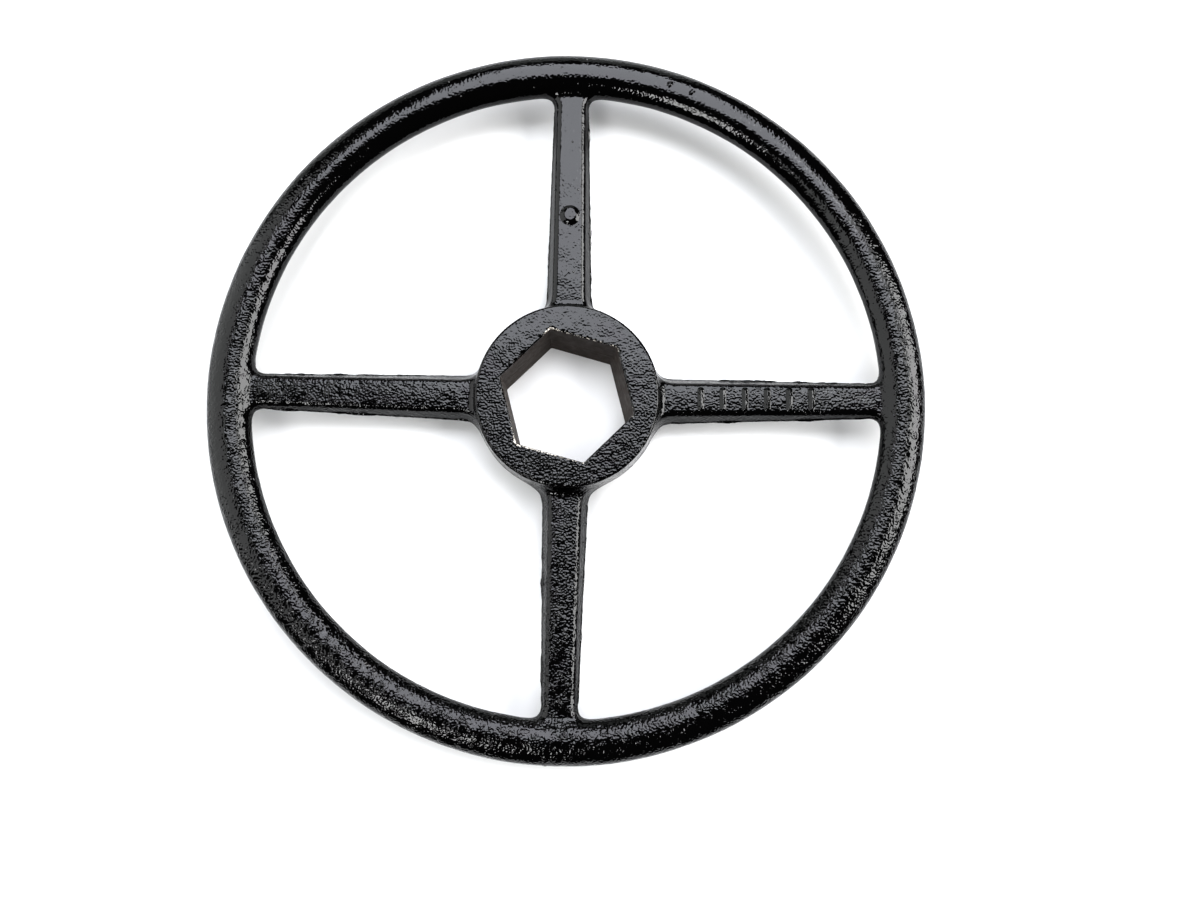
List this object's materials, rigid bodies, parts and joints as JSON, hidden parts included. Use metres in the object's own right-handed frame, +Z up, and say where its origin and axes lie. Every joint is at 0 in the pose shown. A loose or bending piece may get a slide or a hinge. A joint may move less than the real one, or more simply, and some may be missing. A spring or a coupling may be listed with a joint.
{
  "type": "handwheel",
  "caption": "Cast-iron handwheel with a rounded rim, tapered spokes and a raised hub with a tapered hexagonal bore.",
  "frame": {"origin": "on the wheel's axis, at the lower face of the hub, on which the wheel stands", "axes": "+Z up the wheel's axis, +X along spoke_east, the spoke with the row of bars, +Y along spoke_north"},
  "size_m": [0.2286, 0.2286, 0.019],
  "materials": {
    "black_enamel": "gloss black enamel over a rough sand-cast skin, with worn bright edges round the bore"
  },
  "bodies": {
    "root": {"rim": "black_enamel", "hub": "black_enamel", "spoke_east": "black_enamel", "spoke_north": "black_enamel", "spoke_west": "black_enamel", "spoke_south": "black_enamel", "tally_bars": "black_enamel", "pattern_pad": "black_enamel"}
  },
  "joints": []
}
